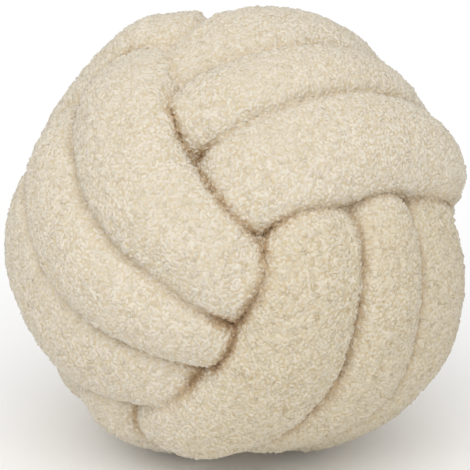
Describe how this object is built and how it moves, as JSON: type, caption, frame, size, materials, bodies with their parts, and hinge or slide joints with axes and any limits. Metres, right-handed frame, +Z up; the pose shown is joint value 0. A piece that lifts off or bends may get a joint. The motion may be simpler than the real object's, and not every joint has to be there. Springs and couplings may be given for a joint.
{
  "type": "knot ball cushion",
  "caption": "Round cushion: a stuffed tube of cream curly pile cloth, wound and tucked into a knotted ball, with a small flat spot to rest on.",
  "frame": {"origin": "middle of the underside of the ball's box, on the surface that it rests on", "axes": "+Z up from the flat spot, and the corner where the bands meet faces -Y"},
  "size_m": [0.3016, 0.3014, 0.2957],
  "materials": {
    "cream_pile": "matte cream cloth with a short curly pile"
  },
  "bodies": {
    "root": {"knotted_tube": "cream_pile"}
  },
  "joints": []
}
